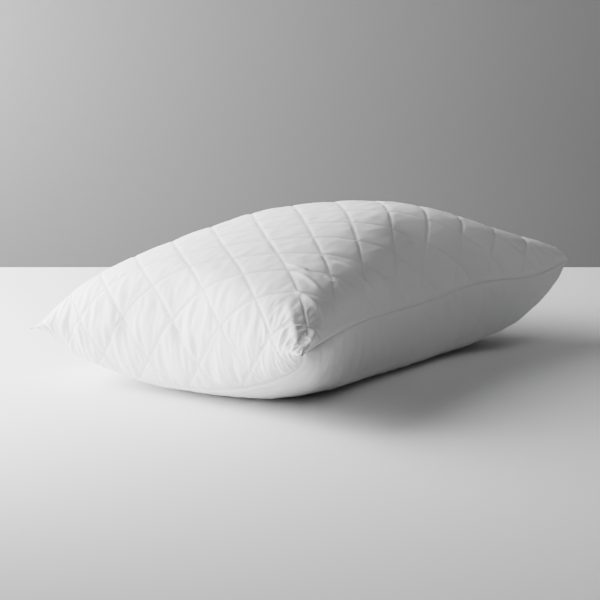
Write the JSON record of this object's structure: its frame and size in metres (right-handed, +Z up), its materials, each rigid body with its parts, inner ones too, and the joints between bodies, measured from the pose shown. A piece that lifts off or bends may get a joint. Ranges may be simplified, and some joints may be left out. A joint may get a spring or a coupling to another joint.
{
  "type": "bed pillow",
  "caption": "Rectangular bed pillow with a diamond-quilted cotton top, a plain cotton underside, a knife-edge seam on all sides and a soft fibre fill.",
  "frame": {"origin": "middle of the bounding box in plan, on the flat face that the pillow rests on", "axes": "+X along the length, +Y across the width, +Z up through the crown; the closing seam is on the long side at -Y"},
  "size_m": [0.676, 0.432, 0.1991],
  "materials": {
    "face_cotton": "fine white percale, quilted",
    "wadding": "fluffy",
    "backing_cloth": "thin non-woven",
    "sewing_thread": "twisted, slight sheen",
    "plain_cotton": "fine white percale, smooth",
    "fibre_fill": "fluffy fibre clusters"
  },
  "bodies": {
    "root": {"quilt_face": "face_cotton", "quilt_wadding": "wadding", "quilt_backing": "backing_cloth", "quilt_stitches_rising": "sewing_thread", "quilt_stitches_falling": "sewing_thread", "underside_panel": "plain_cotton", "side_seam_thread": "sewing_thread", "overlock_edging": "sewing_thread", "closing_seam_thread": "sewing_thread", "fibre_fill": "fibre_fill"}
  },
  "joints": []
}
